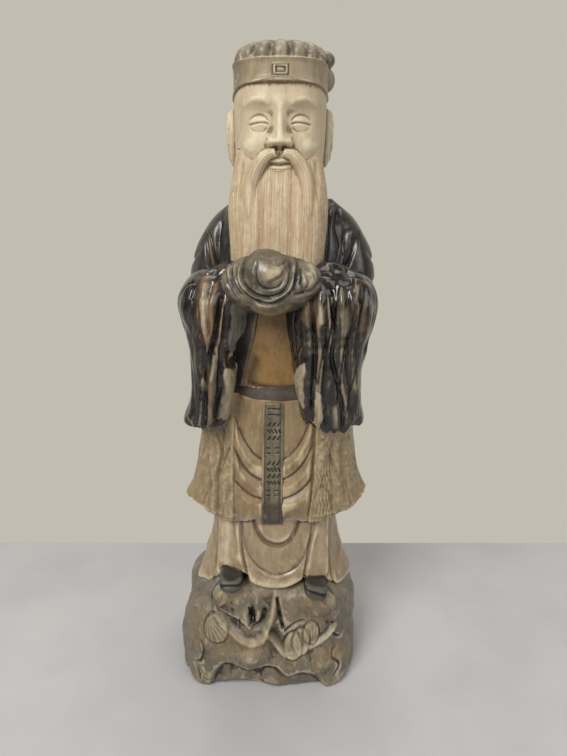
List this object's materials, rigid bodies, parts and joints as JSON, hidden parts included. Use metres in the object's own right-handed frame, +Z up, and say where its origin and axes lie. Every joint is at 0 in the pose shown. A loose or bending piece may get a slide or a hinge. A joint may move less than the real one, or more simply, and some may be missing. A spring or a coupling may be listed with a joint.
{
  "type": "asian man statue",
  "caption": "Glazed stoneware figure of a bearded scholar in a fluted cap and long court robes, hands joined under cloth, standing on a carved rock base.",
  "frame": {"origin": "centre of the outline in plan, on the floor under the base", "axes": "+Z up along the figure's height, +X to the viewer's right, the figure faces -Y"},
  "size_m": [0.1994, 0.1597, 0.588],
  "materials": {
    "glazed_stoneware": "stoneware with a black glaze on the robe, an ochre glaze on the chest, tan glaze on the skirts and bare cream clay on the face and beard"
  },
  "bodies": {
    "root": {"statue": "glazed_stoneware"}
  },
  "joints": []
}
